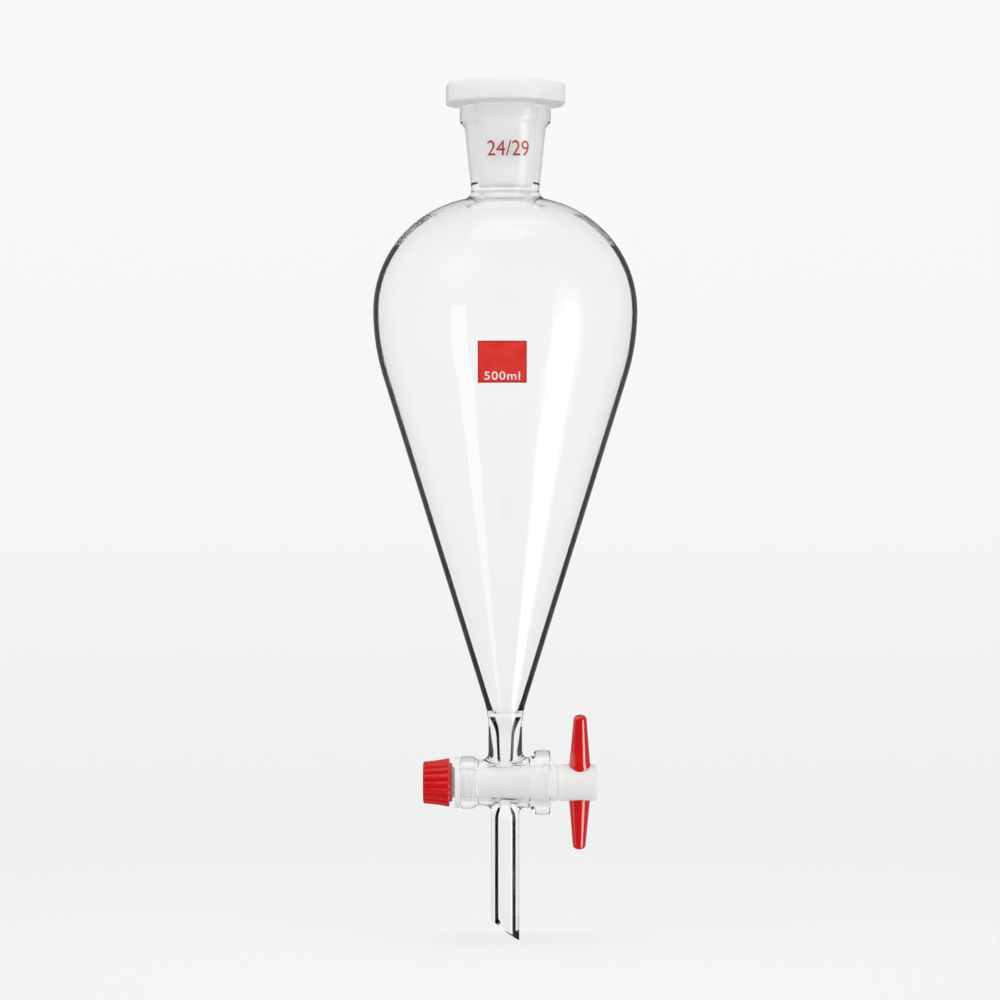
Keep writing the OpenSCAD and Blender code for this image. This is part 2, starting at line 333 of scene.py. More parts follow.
plainGlass = clearGlass("clearGlass", glassLook["plainEdge"])
bulbGlass = clearGlass("bulbGlass", glassLook["bulbEdge"], 1.0, (0.6, 40 * mm, 68 * mm))
innerGlass = clearGlass("innerWall", glassLook["plainEdge"], glassLook["wallMirror"])
fadedGlass = clearGlass("shoulderWall", glassLook["plainEdge"], 0.55)
stemGlass = clearGlass("stemGlass", glassLook["stemEdge"], 1.0, (0.28, weldZ - 8 * mm, weldZ + 1 * mm))
frosted = groundGlass()
print("glass materials ready")

bulbForm = {
    "wall": 2 * mm,
    "coneAngle": 17.3,
    "bellyArc": 84 * mm,
    "shoulderArc": 43 * mm,
    "stemBlend": 34 * mm,
    "neckBlend": 4 * mm,
    "ringR": 40 * mm,  # the cone's radius at the frame's origin
}
socketForm = {
    "boreR": 12 * mm,
    "taper": 0.05,
    "groundLength": 29 * mm,
    "neckWall": 2.3 * mm,
    "topWall": 3.3 * mm,
    "beadHeight": 6.4 * mm,
    "beadOut": 1.9 * mm,
}
tapForm = {
    "boreR": 6.1 * mm,
    "taper": 0.05,
    "wall": 3 * mm,
    "wayR": 2 * mm,
    "dripBoreR": 2.65 * mm,
    "flare": 2.3 * mm,
    "flareSide": 0.5 * mm,
    "flareHeight": 2.8 * mm,
    "tipAngle": 37,
    "clearance": 0.04 * mm,
}

angle = math.radians(bulbForm["coneAngle"])
coneCos, coneSin = math.cos(angle), math.sin(angle)
bellyArc = bulbForm["bellyArc"]
arcCentreR = bellyR - bellyArc
coneOffset = coneCos * (arcCentreR + bellyArc * coneCos) + coneSin * bellyArc * coneSin
bellyZ = (coneOffset - coneCos * bulbForm["ringR"]) / coneSin
shoulderR = bellyR - bulbForm["shoulderArc"]
throatR = socketForm["boreR"] - socketForm["taper"] * socketForm["groundLength"]
neckR = throatR + socketForm["neckWall"]
barrelEnd = barrelHigh.x


glassFaces = {  # levels where the wall's inner face changes, so its dark edge thins out
    "faded": 68 * mm,
    "bright": 79 * mm,
    "tick": 0.8 * mm,  # below the ground zone
    "tapBand": 9 * mm,
    "ring": -107.4 * mm,  # where bulb and stem were sealed together
    "ringRise": 0.3 * mm,
}


def bulbRadius(z):  # outer radius of belly and cone
    if z < bellyZ - bellyArc * coneSin:
        return (coneOffset + coneSin * (z - bellyZ)) / coneCos
    if z < bellyZ:
        return arcCentreR + math.sqrt(bellyArc ** 2 - (z - bellyZ) ** 2)
    return shoulderR + math.sqrt(max(0, bulbForm["shoulderArc"] ** 2 - (z - bellyZ) ** 2))


def boreAt(x):
    return tapForm["boreR"] + x * tapForm["taper"]


def wallAt(x):
    return boreAt(x) + tapForm["wall"]


def saddle(stem, side, sink=0.0, extra=0.0):
    # a ring that follows the barrel's outer face, flared along the barrel more than across it
    def point(t):
        widen = extra * (tapForm["flareSide"] + (tapForm["flare"] - tapForm["flareSide"]) * math.cos(t) ** 2)
        r = stem + widen
        x, y = r * math.cos(t), r * math.sin(t)
        reach = wallAt(x)
        return Vector((x, y, tapZ + side * (math.sqrt(max(reach ** 2 - y * y, 1e-9)) - sink)))
    return point


def flareRings(stem, side, steps=7):
    rings = []
    for i in range(steps + 1):
        phi = math.pi / 2 * i / steps
        lift, out = tapForm["flareHeight"] * (1 - math.sin(phi)), 1 - math.cos(phi)

        def ring(t, lift=lift, out=out):
            p = saddle(stem, side, 0.05 * mm, out)(t)
            return p + Vector((0, 0, side * lift))
        rings.append(ring)
    rings.append(saddle(stem, side, 1.6 * mm, 1))
    rings.append(Vector((0, 0, tapZ + side * 4 * mm)))
    return rings


def outerOutline():
    # from the rim down to the upper stem
    beadR = socketForm["boreR"] + socketForm["topWall"] + socketForm["beadOut"]
    beadLow = rimZ - socketForm["beadHeight"]
    blend = bulbForm["neckBlend"]
    meet = math.degrees(math.atan2(neckZ - bellyZ, neckR + blend - shoulderR))
    head = [(0, rimZ), (beadR, rimZ), (beadR, beadLow + 0.2 * mm),
            (beadR - socketForm["beadOut"], beadLow - socketForm["beadOut"] * 0.8), (neckR, neckZ)]
    socket = softened(head, 1.9 * mm, 6)[:-1]
    neck = arc((neckR + blend, neckZ), blend, 180, 180 + meet, 8)
    shoulder = arc((shoulderR, bellyZ), bulbForm["shoulderArc"], meet, 0, 40)[1:]
    belly = arc((arcCentreR, bellyZ), bellyArc, 0, -bulbForm["coneAngle"], 24)[1:]
    foot = arc((stemR + bulbForm["stemBlend"], weldZ), bulbForm["stemBlend"],
               180 - bulbForm["coneAngle"], 180, 12)
    steps = 20
    start, end = Vector(belly[-1]), Vector(foot[0])
    cone = [tuple(start.lerp(end, i / steps)) for i in range(1, steps)]
    return socket + neck + shoulder + belly + cone + foot


def innerOutline():
    # the hollow, from above the rim down into the barrel
    wall = bulbForm["wall"]
    over = 6 * mm
    blend = bulbForm["neckBlend"]
    innerShoulder = bulbForm["shoulderArc"] - wall
    side = throatR + blend - shoulderR
    rise = math.sqrt((innerShoulder + blend) ** 2 - side ** 2)
    meet = math.degrees(math.atan2(rise, side))
    groundEnd = rimZ - socketForm["groundLength"]
    top = [(0, rimZ + over), (socketForm["boreR"] + over * socketForm["taper"], rimZ + over),
           (socketForm["boreR"], rimZ), (throatR, groundEnd), (throatR, groundEnd - glassFaces["tick"])]
    neck = arc((throatR + blend, bellyZ + rise), blend, 180, 180 + meet, 8)
    shoulder = arc((shoulderR, bellyZ), innerShoulder, meet, 0, 40)[1:]
    belly = arc((arcCentreR, bellyZ), bellyArc - wall, 0, -bulbForm["coneAngle"], 24)[1:]
    endR = tapForm["wayR"] + 0.35 * mm
    coneEnd = bellyZ + (coneCos * endR - coneOffset + wall) / coneSin
    steps = 20
    start, end = Vector(belly[-1]), Vector((endR, coneEnd))
    cone = [tuple(start.lerp(end, i / steps)) for i in range(1, steps)]
    ring = glassFaces["ring"]
    cone = [p for p in cone if abs(p[1] - ring) > 2 * mm]
    for i in range(11):
        z = ring + (1 - i / 5) * 1.5 * mm
        rise = glassFaces["ringRise"] * math.exp(-((z - ring) / (0.8 * mm)) ** 2)
        cone.append(((coneOffset - wall + coneSin * (z - bellyZ)) / coneCos - rise, z))
    cone.sort(key=lambda p: -p[1])
    way = softened([cone[-1], (endR, coneEnd), (tapForm["wayR"], tapZ + 8 * mm)], 4 * mm, 6)[1:]
    return top + neck + shoulder + belly + cone + way + [(tapForm["wayR"], tapZ), (0, tapZ)]


def barrelOutline():
    left, right = barrelLow.x, barrelHigh.x
    collar, flange = 5.6 * mm, 6 * mm
    collarR, flangeR = 10 * mm, barrelHigh.z - tapZ
    points = [(0, left), (collarR - 0.2 * mm, left), (collarR, left + collar * 0.5),
              (collarR - 0.15 * mm, left + collar - 0.6 * mm),
              (wallAt(left + collar), left + collar + 0.9 * mm)]
    points += [(wallAt(x * mm), x * mm) for x in (-8, -4, 0, 4, 8)]
    points += [(wallAt(right - flange), right - flange - 1.6 * mm), (flangeR - 0.2 * mm, right - flange + 0.4 * mm),
               (flangeR, right - flange * 0.5), (flangeR - 0.2 * mm, right), (0, right)]
    return softened(points, 1.1 * mm, 5)


def makeGlass():
    shell = [Vector((0, 0, rimZ))] + [aboutZ(r, z) for r, z in outerOutline()[1:]]
    body = skin("glassBody", shell + flareRings(stemR, 1), 144)
    stem = [aboutZ(dripR, tipZ - 6 * mm), aboutZ(dripR, tapZ - 30 * mm), aboutZ(dripR, tapZ - 16 * mm)]
    drip = skin("drip", [Vector((0, 0, tipZ - 6 * mm))] + stem + flareRings(dripR, -1), 144)
    barrel = lathe("barrel", barrelOutline(), aboutX, 144)
    combine(body, barrel, "UNION")
    combine(body, drip, "UNION")
    print("glass shell joined")
    hollow = lathe("hollow", innerOutline(), aboutZ, 144)
    combine(body, hollow, "DIFFERENCE")
    low = [(0, tapZ), (tapForm["wayR"], tapZ), (tapForm["wayR"], tapZ - 9.5 * mm)]
    low = softened(low + [(tapForm["dripBoreR"], tapZ - 12.5 * mm), (tapForm["dripBoreR"], tipZ - 8 * mm)],
                   1.5 * mm, 5, keep=(1,)) + [(0, tipZ - 8 * mm)]
    combine(body, lathe("lowWay", low, aboutZ, 144), "DIFFERENCE")
    past = 3 * mm
    bore = [(0, barrelLow.x - past), (boreAt(barrelLow.x - past), barrelLow.x - past),
            (boreAt(barrelHigh.x + past), barrelHigh.x + past), (0, barrelHigh.x + past)]
    combine(body, lathe("bore", bore, aboutX, 144), "DIFFERENCE")
    bpy.ops.mesh.primitive_cube_add(size=1)
    slope = bpy.context.object
    size = 60 * mm
    slope.scale = (size, size, size)
    tilt = Matrix.Rotation(math.radians(tapForm["tipAngle"]), 4, "Y")
    slope.matrix_world = (Matrix.Translation((dripR, 0, tipZ)) @ tilt
                          @ Matrix.Translation((0, 0, -size / 2)) @ Matrix.Diagonal((size, size, size, 1)))
    combine(body, slope, "DIFFERENCE")
    body.data.materials.clear()
    for material in (plainGlass, innerGlass, frosted, fadedGlass, stemGlass, bulbGlass):
        body.data.materials.append(material)
    level = glassFaces
    for face in body.data.polygons:
        c, n = face.center, face.normal
        radial = math.hypot(c.x, c.y)
        inward = (n.x * c.x + n.y * c.y) < -0.2 * radial
        groundEnd = rimZ - socketForm["groundLength"]
        face.material_index = 0
        if inward and (radial < bulbRadius(c.z) - 0.5 * bulbForm["wall"] or radial < 12.5 * mm):
            if c.z > groundEnd:
                face.material_index = 2 if radial < 12.3 * mm else 0
            elif c.z < level["faded"] or c.z > groundEnd - level["tick"]:
                face.material_index = 1
            elif c.z < level["bright"]:
                face.material_index = 3
            if radial < 4 * mm and 5 * mm < abs(c.z - tapZ) < 7.5 * mm:
                face.material_index = 2
            elif abs(c.z - tapZ) < level["tapBand"] or abs(c.z - level["ring"]) < 1.2 * mm:
                face.material_index = 0
        elif tapZ < c.z < weldZ + 1 * mm and abs(radial - stemR) < 0.15 * mm:
            face.material_index = 4
        elif weldZ < c.z < neckZ - 3 * mm:
            face.material_index = 5
    finishMesh(body, 28)
    place(body, "glass", "clear_glass", "joint_socket", "bulb", "upper_stem", "stopcock_barrel", "drip_stem")
    return body


glassBody = makeGlass()
print("glass body made", len(glassBody.data.polygons))

# ---- stopper

stopperForm = {
    "flatR": 22.45 * mm,  # centre to flat
    "cornerR": 23.4 * mm,
    "turned": 4,
    "gap": 0.9 * mm,
    "edge": 0.9 * mm,
    "skirtWall": 2.4 * mm,
    "skirtDepth": 3.6 * mm,
    "wall": 2 * mm,
    "clearance": 0.05 * mm,
}


def milkyPlastic():
    look = {"fineScale": 700, "slowScale": 55, "fineShare": 0.4, "bump": 0.25, "relief": 0.00008}
    material, tree, shader = newMaterial("milkyPlastic")
    made, bump = addGrain(tree, shader, look)
    tree.links.new(toned(tree, made.outputs["mottle"], (0.92, 0.925, 0.935), (0.95, 0.953, 0.96)),
                   shader.inputs["Base Color"])
    tree.links.new(ranged(tree, made.outputs["mottle"], 0.3, 0.42), shader.inputs["Roughness"])
    shader.inputs["Transmission Weight"].default_value = 0.12
    shader.inputs["Subsurface Weight"].default_value = 0.7
    shader.inputs["Subsurface Radius"].default_value = (1, 1, 1)
    shader.inputs["Subsurface Scale"].default_value = 0.004
    shader.inputs["IOR"].default_value = 1.5
    return material


def eightSided(inset, z):
    # an octagon with rounded corners, at one height
    flat, corner = stopperForm["flatR"] - inset, stopperForm["cornerR"] - inset
    lean = math.radians(stopperForm["turned"])

    def point(t):
        local = (t - lean + math.pi / 8) % (math.pi / 4) - math.pi / 8
        straight = flat / math.cos(local)
        r = -0.0006 * math.log(math.exp(-straight / 0.0006) + math.exp(-corner / 0.0006)) + 0.0001
        return Vector((r * math.cos(t), r * math.sin(t), z))
    return point


def makeStopper():
    form = stopperForm
    low, top, edge = rimZ + form["gap"], headTop, form["edge"]
    plugR = socketForm["boreR"] - form["clearance"]

    def taperR(z):
        return plugR - (rimZ - z) * socketForm["taper"]
    floorZ = stopperTail + form["wall"]
    mouthR = taperR(top) - form["wall"]
    well = softened([(0, floorZ), (taperR(floorZ) - form["wall"], floorZ), (mouthR, top), (mouthR + 3 * mm, top)],
                    1 * mm, 5)
    rings = [Vector((0, 0, floorZ))] + [aboutZ(r, z) for r, z in well[1:]]
    for i in range(1, 6):  # the top face runs from the round mouth to the eight-sided edge
        share = i / 6
        start = aboutZ(mouthR + 3 * mm, top)
        rings.append(lambda t, s=share, a=start: a(t).lerp(eightSided(edge, top)(t), s))
    for a in (90, 70, 50, 30, 10, 0):
        s = math.radians(a)
        rings.append(eightSided(edge * (1 - math.cos(s)), top - edge + edge * math.sin(s)))
    rings.append(eightSided(0, (low + top) / 2))
    for a in (0, -25, -50, -75, -90):
        s = math.radians(a)
        small = edge * 0.6
        rings.append(eightSided(small * (1 - math.cos(s)), low + small + small * math.sin(s)))
    skirtR = form["flatR"] - form["skirtWall"]
    ceiling = low + form["skirtDepth"]
    under = softened([(skirtR + 0.4 * mm, low), (skirtR, low + 0.4 * mm), (skirtR, ceiling),
                      (taperR(low), ceiling), (taperR(low), low), (taperR(stopperTail), stopperTail),
                      (0, stopperTail)], 0.9 * mm, 5)
    rings += [aboutZ(r, z) for r, z in under[:-1]] + [Vector((0, 0, stopperTail))]
    piece = skin("stopper", rings, 160)
    piece.data.materials.append(milkyPlastic())
    finishMesh(piece, 40)
    return place(piece, "stopper", "milky_plastic", "stopper")


stopper = makeStopper()
print("stopper made")

# ---- key

keyForm = {
    "headStart": 20 * mm,
    "headLength": 14.6 * mm,
    "headR": 6.9 * mm,
    "tailR": 3.95 * mm,
    "thread": 1.5 * mm,
    "threadDepth": 0.55 * mm,
    "portR": 1.25 * mm,
    "turned": 16,
    "armShare": 0.56,
    "armReach": 26.8 * mm,
    "armRootR": 4.1 * mm,
    "armTipR": 2.45 * mm,
    "spigotR": 2.1 * mm,
    "spigotDepth": 4.4 * mm,
}
reliefs = ((-14.6, -12.2, 0.5), (6.6, 8.8, 0.3), (14.2, 16.0, 0.45))
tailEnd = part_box("key_plug")[0].x
armX = keyForm["headStart"] + keyForm["headLength"] * keyForm["armShare"]


def ptfeMaterial():
    look = {"fineScale": 1200, "slowScale": 70, "fineShare": 0.35, "bump": 0.3, "relief": 0.00006}
    material, tree, shader = newMaterial("ptfe")
    made, bump = addGrain(tree, shader, look)
    coords = node(tree, "ShaderNodeTexCoord")
    rings = node(tree, "ShaderNodeTexWave", wave_type="BANDS", bands_direction="X")  # turning marks
    rings.inputs["Scale"].default_value = 420
    rings.inputs["Distortion"].default_value = 0.6
    marks = node(tree, "ShaderNodeBump")
    marks.inputs["Strength"].default_value = 0.12
    marks.inputs["Distance"].default_value = 0.00004
    tree.links.new(coords.outputs["Object"], rings.inputs["Vector"])
    tree.links.new(rings.outputs["Fac"], marks.inputs["Height"])
    tree.links.new(bump.outputs["Normal"], marks.inputs["Normal"])
    tree.links.new(marks.outputs["Normal"], shader.inputs["Normal"])
    tree.links.new(toned(tree, made.outputs["mottle"], (0.83, 0.82, 0.815), (0.87, 0.86, 0.855)),
                   shader.inputs["Base Color"])
    tree.links.new(ranged(tree, made.outputs["mottle"], 0.38, 0.5), shader.inputs["Roughness"])
    shader.inputs["Subsurface Weight"].default_value = 0.35
    shader.inputs["Subsurface Radius"].default_value = (1, 0.95, 0.9)
    shader.inputs["Subsurface Scale"].default_value = 0.0015
    shader.inputs["IOR"].default_value = 1.38
    return material


ptfe = ptfeMaterial()


def keyR(x):
    return boreAt(x) - tapForm["clearance"]


def threaded(x, fade):
    # one ring of a thread: the crest climbs one pitch in each turn
    def point(t):
        phase = (x / keyForm["thread"] + t / turn) % 1
        cut = keyForm["threadDepth"] * fade * min(1, max(0, 1.6 * abs(2 * phase - 1) - 0.3))
        r = keyForm["tailR"] - cut
        return Vector((x, r * math.sin(t), tapZ + r * math.cos(t)))
    return point


def makeKey():
    form = keyForm
    shank = barrelLow.x + 0.6 * mm
    rings = [Vector((tailEnd, 0, tapZ)), aboutX(form["tailR"] - 1.1 * mm, tailEnd),
             aboutX(form["tailR"] - 0.7 * mm, tailEnd + 0.3 * mm)]
    steps = 96
    start, end = tailEnd + 0.4 * mm, shank - 3.2 * mm
    for i in range(steps + 1):
        s = i / steps
        rings.append(threaded(start + (end - start) * s, min(1, s * 12, (1 - s) * 12)))
    body = [(form["tailR"], end + 0.2 * mm), (form["tailR"], shank - 0.4 * mm), (keyR(shank), shank)]
    for x0, x1, deep in reliefs:
        body += [(keyR(x0 * mm), x0 * mm), (keyR(x0 * mm) - deep * mm, (x0 + 0.3) * mm),
                 (keyR(x1 * mm) - deep * mm, (x1 - 0.3) * mm), (keyR(x1 * mm), x1 * mm)]
    headEnd = form["headStart"] + form["headLength"]
    neckX = form["headStart"] - 0.5 * mm
    body += [(keyR(neckX) - 0.05 * mm, neckX - 0.35 * mm), (form["headR"] - 0.55 * mm, neckX),
             (form["headR"] - 0.55 * mm, form["headStart"]), (form["headR"], form["headStart"] + 0.35 * mm),
             (form["headR"], headEnd), (0, headEnd)]
    smooth = softened(body, 0.25 * mm, 3, keep=(len(body) - 2,))
    smooth = smooth[:-2] + softCorner(body[-3], body[-2], body[-1], 1.2 * mm, 8) + [body[-1]]
    rings += [aboutX(r, x) for r, x in smooth[:-1]] + [Vector((headEnd, 0, tapZ))]
    piece = skin("key", rings, 128)
    lean = Matrix.Translation((0, 0, tapZ)) @ Matrix.Rotation(math.radians(form["turned"]), 4, "X")
    way = lathe("way", [(0, -12 * mm), (form["portR"], -12 * mm), (form["portR"], 12 * mm), (0, 12 * mm)],
                aboutZ, 64)
    way.matrix_world = lean
    combine(piece, way, "DIFFERENCE")
    for side in (0, 180):
        socket = lathe("socket", [(0, form["headR"] - form["spigotDepth"] - 0.05 * mm),
                                  (form["spigotR"] + 0.05 * mm, form["headR"] - form["spigotDepth"] - 0.05 * mm),
                                  (form["spigotR"] + 0.05 * mm, 10 * mm), (0, 10 * mm)], aboutZ, 64)
        socket.matrix_world = (Matrix.Translation((armX, 0, tapZ))
                               @ Matrix.Rotation(math.radians(form["turned"] + side), 4, "X"))
        combine(piece, socket, "DIFFERENCE")
    piece.data.materials.clear()
    piece.data.materials.append(ptfe)
    finishMesh(piece, 35)
    return place(piece, "key", "ptfe", "key_plug")


key = makeKey()
print("key made")


def redPlastic(name):
    look = {"fineScale": 500, "slowScale": 45, "fineShare": 0.3, "bump": 0.25, "relief": 0.0001}
    material, tree, shader = newMaterial(name)
    made, bump = addGrain(tree, shader, look)
    tree.links.new(toned(tree, made.outputs["mottle"], (0.63, 0.001, 0.0005), (0.71, 0.0015, 0.0008)),
                   shader.inputs["Base Color"])
    tree.links.new(ranged(tree, made.outputs["mottle"], 0.1, 0.17), shader.inputs["Roughness"])
    shader.inputs["IOR"].default_value = 1.5
    shader.inputs["Coat Weight"].default_value = 1.0
    shader.inputs["Coat Roughness"].default_value = 0.13
    shader.inputs["Coat IOR"].default_value = 1.7
    return material


redMaterial = redPlastic("redPlastic")


def makeArm(name, side, node):
    form = keyForm
    lean = (Matrix.Translation((armX, 0, tapZ))
            @ Matrix.Rotation(math.radians(form["turned"] + side), 4, "X"))
    headR = form["headR"] + 0.05 * mm

    def seat(r, lift=0.0):  # follows the key's round head
        def point(t):
            x, y = r * math.cos(t), r * math.sin(t)
            return lean @ Vector((x, y, math.sqrt(max(headR ** 2 - y * y, 1e-9)) + lift))
        return point

    def level(r, z):
        return lambda t: lean @ Vector((r * math.cos(t), r * math.sin(t), z))
    reach, tipR, rootR = form["armReach"], form["armTipR"], form["armRootR"]
    tipRound = 1.5 * mm
    rings = [lean @ Vector((0, 0, reach))]
    for a in (84, 72, 58, 44, 30, 15, 0):
        s = math.radians(a)
        rings.append(level(tipR - tipRound + tipRound * math.cos(s), reach - tipRound + tipRound * math.sin(s)))
    steps = 12
    lowZ = headR + 1.2 * mm
    for i in range(1, steps + 1):
        share = i / steps
        rings.append(level(tipR + (rootR - 0.25 * mm - tipR) * share, reach - tipRound + (lowZ - reach + tipRound) * share))
    rings += [seat(rootR - 0.08 * mm, 0.55 * mm), seat(rootR, 0.3 * mm), seat(rootR - 0.06 * mm, 0.08 * mm),
              seat(rootR - 0.3 * mm), seat(form["spigotR"] + 0.3 * mm), seat(form["spigotR"], 0.0)]
    foot = form["headR"] - form["spigotDepth"]
    rings += [level(form["spigotR"], foot + 0.3 * mm), level(form["spigotR"] - 0.3 * mm, foot),
              lean @ Vector((0, 0, foot))]
    piece = skin(name, rings, 96)
    piece.data.materials.append(redMaterial)
    finishMesh(piece, 40)
    return place(piece, "key", "red_plastic", node)


upperArm = makeArm("upperArm", 0, "handle_arm_upper")
lowerArm = makeArm("lowerArm", 180, "handle_arm_lower")
print("handle arms made")

# ---- washer, ring and nut

nutForm = {
    "flutes": 18,
    "fluteDepth": 0.75 * mm,
    "smallR": 7.95 * mm,
    "largeR": 9.3 * mm,
    "collarR": 7.3 * mm,
    "collarWidth": 1 * mm,
}


def makeWasher():
    low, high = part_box("thrust_washer")
    inner, outer = keyForm["tailR"] + 0.05 * mm, high.z - tapZ
    loop = softened([(inner, low.x), (outer, low.x), (outer, high.x), (inner, high.x), (inner, low.x)], 0.35 * mm, 4)
    rings = [aboutX(r, x) for r, x in loop]
    piece = ringSkin("washer", rings[:-1])
    piece.data.materials.append(ptfe)
    finishMesh(piece, 40)
    return place(piece, "seals", "ptfe", "thrust_washer")


def ringSkin(name, rings, around=128):  # a tube closed on itself, such as a washer
    bm = bmesh.new()
    rows = [[bm.verts.new(ring(turn * k / around)) for k in range(around)] for ring in rings]
    for i, low in enumerate(rows):
        high = rows[(i + 1) % len(rows)]
        for k in range(around):
            n = (k + 1) % around
            bm.faces.new((low[k], high[k], high[n], low[n]))
    bmesh.ops.remove_doubles(bm, verts=bm.verts, dist=1e-7)
    bmesh.ops.recalc_face_normals(bm, faces=bm.faces)
    mesh = bpy.data.meshes.new(name)
    bm.to_mesh(mesh)
    bm.free()
    piece = bpy.data.objects.new(name, mesh)
    bpy.context.scene.collection.objects.link(piece)
    return piece


def siliconeMaterial():
    look = {"fineScale": 900, "slowScale": 120, "fineShare": 0.5, "bump": 0.2, "relief": 0.00005}
    material, tree, shader = newMaterial("silicone")
    made, bump = addGrain(tree, shader, look)
    tree.links.new(toned(tree, made.outputs["mottle"], (0.78, 0.77, 0.73), (0.84, 0.83, 0.8)),
                   shader.inputs["Base Color"])
    tree.links.new(ranged(tree, made.outputs["mottle"], 0.4, 0.55), shader.inputs["Roughness"])
    shader.inputs["Subsurface Weight"].default_value = 0.3
    shader.inputs["Subsurface Scale"].default_value = 0.001
    return material


def makeRing():
    low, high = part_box("o_ring")
    cordR, centreX = (high.x - low.x) / 2, (low.x + high.x) / 2
    centreR = high.z - tapZ - cordR
    loop = arc((centreR, centreX), cordR, 0, 360, 32)[:-1]
    piece = ringSkin("sealRing", [aboutX(r, x) for r, x in loop])
    piece.data.materials.append(siliconeMaterial())
    finishMesh(piece, 60)
    return place(piece, "seals", "silicone", "o_ring")


def makeNut():
    form = nutForm
    low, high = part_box("lock_nut")
    grip = high.x - low.x - form["collarWidth"]
    inner = keyForm["tailR"] + 0.05 * mm
    ringLow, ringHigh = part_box("o_ring")
    pocket, pocketR = ringLow.x - 0.05 * mm, ringHigh.z - tapZ + 0.1 * mm

    def fluted(share, drop=0.0, depth=1.0):
        # the grip widens towards the barrel in a slight hollow curve
        r = form["smallR"] + (form["largeR"] - form["smallR"]) * (0.35 * share + 0.65 * share ** 2) - drop
        x = low.x + grip * share

        def point(t):
            wave = abs(math.sin(form["flutes"] * t / 2)) ** 0.8
            d = r - form["fluteDepth"] * depth * (1 - wave)
            return Vector((x, d * math.sin(t), tapZ + d * math.cos(t)))
        return point
    rings = [aboutX(inner, low.x + 0.5 * mm), aboutX(inner + 0.5 * mm, low.x),
             aboutX(form["smallR"] - 1.6 * mm, low.x)]
    rings += [fluted(0, 0.75 * mm, 0.3), fluted(0.012, 0.35 * mm, 0.6), fluted(0.035, 0.1 * mm, 0.9)]
    rings += [fluted(0.06 + 0.9 * i / 14) for i in range(15)]
    rings += [fluted(0.975, 0.1 * mm, 0.9), fluted(0.992, 0.35 * mm, 0.7), fluted(1, 0.8 * mm, 0.3)]
    collar = low.x + grip
    rings += [aboutX(form["collarR"] + 0.2 * mm, collar), aboutX(form["collarR"], collar + 0.2 * mm),
              aboutX(form["collarR"], high.x - 0.2 * mm), aboutX(form["collarR"] - 0.2 * mm, high.x),
              aboutX(pocketR + 0.15 * mm, high.x), aboutX(pocketR, high.x - 0.15 * mm),
              aboutX(pocketR, pocket), aboutX(inner, pocket)]
    piece = ringSkin("nut", rings, 18 * 16)
    piece.data.materials.append(redMaterial)
    finishMesh(piece, 50)
    return place(piece, "nut", "red_plastic", "lock_nut")


washer = makeWasher()
sealRing = makeRing()
nut = makeNut()
print("washer, ring and nut made")

# ---- fired prints

printForm = {
    "gap": 0.02 * mm,
    "thick": 0.06 * mm,
    "fieldWidth": 18 * mm,
    "fieldHeight": 15.2 * mm,
    "fieldCentre": (-1.2 * mm, 23.7 * mm),
    "volumeHeight": 3.0 * mm,
    "volumeWidth": 13.0 * mm,
    "volumeDrop": 5.0 * mm,
    "sizeHeight": 5.7 * mm,
    "sizeWidth": 16.4 * mm,
    "sizeCentre": (1.2 * mm, -17.1 * mm),  # from the rim
}


def enamel(name, low, high, border=None):
    look = {"fineScale": 1500, "slowScale": 220, "fineShare": 0.5, "bump": 0.3, "relief": 0.00002}
    material, tree, shader = newMaterial(name)
    made, bump = addGrain(tree, shader, look)
    colour = toned(tree, made.outputs["mottle"], low, high)
    if border:  # a slightly deeper line where the print ends
        coords = node(tree, "ShaderNodeTexCoord")
        axes = node(tree, "ShaderNodeSeparateXYZ")
        tree.links.new(coords.outputs["Generated"], axes.inputs["Vector"])
        edges = []
        for axis, width in (("X", 0.03), ("Z", 0.036)):
            centre = node(tree, "ShaderNodeMath", operation="SUBTRACT")
            centre.inputs[1].default_value = 0.5
            size = node(tree, "ShaderNodeMath", operation="ABSOLUTE")
            over = node(tree, "ShaderNodeMath", operation="GREATER_THAN")
            over.inputs[1].default_value = 0.5 - width
            tree.links.new(axes.outputs[axis], centre.inputs[0])
            tree.links.new(centre.outputs[0], size.inputs[0])
            tree.links.new(size.outputs[0], over.inputs[0])
            edges.append(over.outputs[0])
        either = node(tree, "ShaderNodeMath", operation="MAXIMUM")
        tree.links.new(edges[0], either.inputs[0])
        tree.links.new(edges[1], either.inputs[1])
        mix = node(tree, "ShaderNodeMix", data_type="RGBA")
        tree.links.new(either.outputs[0], mix.inputs["Factor"])
        tree.links.new(colour, mix.inputs["A"])
        mix.inputs["B"].default_value = (*border, 1)
        colour = mix.outputs["Result"]
    tree.links.new(colour, shader.inputs["Base Color"])
    tree.links.new(ranged(tree, made.outputs["mottle"], 0.25, 0.4), shader.inputs["Roughness"])
    return material


def wrapped(piece, radiusAt, lift):
    # lays flat work, drawn as x across and y up, round the glass, and gives it thickness
    bm = bmesh.new()
    bm.from_mesh(piece.data)
    bmesh.ops.recalc_face_normals(bm, faces=bm.faces)
    for vert in bm.verts:
        x, z = vert.co.x, vert.co.y
        r = radiusAt(z) + lift + vert.co.z
        t = x / radiusAt(z)
        vert.co = Vector((r * math.sin(t), -r * math.cos(t), z))
    bmesh.ops.recalc_face_normals(bm, faces=bm.faces)
    bm.to_mesh(piece.data)
    bm.free()
    return piece


